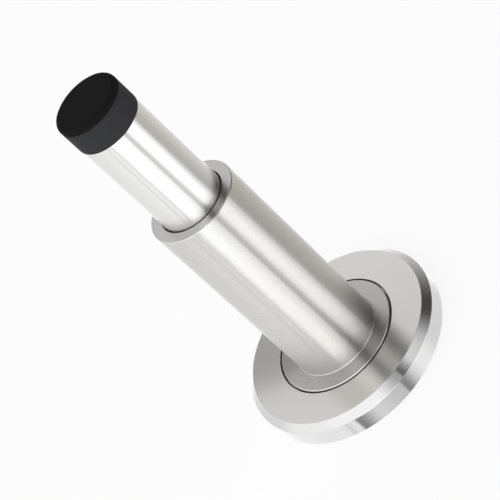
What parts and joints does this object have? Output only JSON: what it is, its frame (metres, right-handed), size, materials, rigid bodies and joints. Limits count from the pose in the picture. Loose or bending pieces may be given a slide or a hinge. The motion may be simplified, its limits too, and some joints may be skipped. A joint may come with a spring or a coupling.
{
  "type": "wall door stop",
  "caption": "Sprung wall door stop: round bevelled base disc, brushed steel post with a foot collar, polished plunger that slides in against a damper, and a black rubber pad.",
  "frame": {"origin": "centre of the base disc's back face, which lies on the wall", "axes": "+Z along the post, from the wall towards the rubber pad; X and Y lie in the wall's plane, with one screw hole on +Y"},
  "size_m": [0.051, 0.051, 0.0971],
  "materials": {
    "satin_steel": "satin, brushed round the axis, with a polished rim",
    "polished_steel": "polished",
    "black_rubber": "matte",
    "black_nylon": "moulded, matte",
    "plain_steel": "turned, plain",
    "damper_metal": "drawn, plain",
    "spring_steel": "bright drawn wire"
  },
  "bodies": {
    "base": {"base_rose": "satin_steel", "post_body": "satin_steel", "guide_bush": "black_nylon", "end_plug": "plain_steel", "damper_cylinder": "damper_metal", "return_spring": "spring_steel"},
    "plunger": {"plunger": "polished_steel", "bumper_pad": "black_rubber", "damper_rod": "plain_steel"}
  },
  "joints": [
    {"name": "plunger_slide", "type": "slide", "parent": "base", "child": "plunger", "axis": [0, 0, -1], "range_m": [0, 0.02], "stiffness_N_per_m": 1200, "springref_m": -0.008, "deforming": ["return_spring"]}
  ]
}
